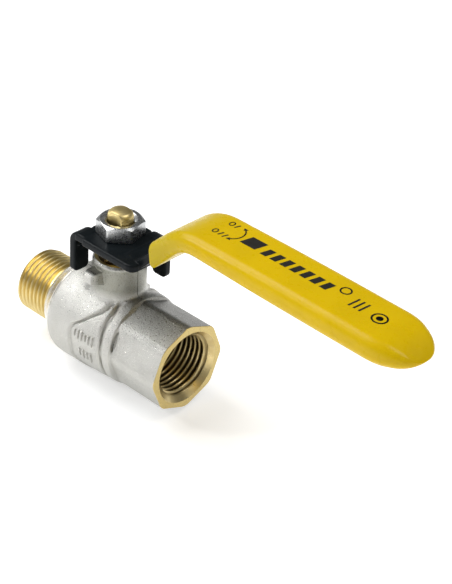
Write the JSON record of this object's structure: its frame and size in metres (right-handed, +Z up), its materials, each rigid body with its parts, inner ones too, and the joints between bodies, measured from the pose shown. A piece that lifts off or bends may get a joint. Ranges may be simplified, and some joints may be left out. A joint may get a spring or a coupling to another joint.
{
  "type": "ball valve",
  "caption": "Lever ball valve for pipe: plated body with a female threaded octagon end, a male threaded end, and a dipped lever that turns the ball a quarter turn.",
  "frame": {"origin": "ball's centre, where the flow axis meets the stem axis", "axes": "+X along the flow axis towards the female end, which is also where the lever points when the valve is open; +Z up the stem"},
  "size_m": [0.1479, 0.032, 0.0681],
  "materials": {
    "nickel_plated_brass": "satin",
    "bare_brass": "satin",
    "hard_chrome": "polished",
    "ptfe": "matte",
    "black_steel": "satin",
    "yellow_vinyl": "semi-gloss",
    "zinc_plated_steel": "polished"
  },
  "bodies": {
    "valve": {"valve_body": "nickel_plated_brass", "end_adapter": "bare_brass", "seat_ring_female_side": "ptfe", "seat_ring_male_side": "ptfe", "thrust_washer": "ptfe", "packing_ring_lower": "ptfe", "packing_ring_middle": "ptfe", "packing_ring_upper": "ptfe", "gland_nut": "bare_brass"},
    "lever_assembly": {"stem": "bare_brass", "lever": "black_steel", "lever_sleeve": "yellow_vinyl", "lever_nut": "zinc_plated_steel"},
    "ball": {"ball": "hard_chrome"}
  },
  "joints": [
    {"name": "lever_turn", "type": "hinge", "parent": "valve", "child": "lever_assembly", "pos_m": [0, 0, 0], "axis": [0, 0, 1], "range_deg": [-90, 0]},
    {"name": "ball_turn", "type": "hinge", "parent": "valve", "child": "ball", "pos_m": [0, 0, 0], "axis": [0, 0, 1], "range_deg": [-90, 0]}
  ],
  "couplings": [
    {"joint": "ball_turn", "follows": "lever_turn", "ratio": 1}
  ]
}
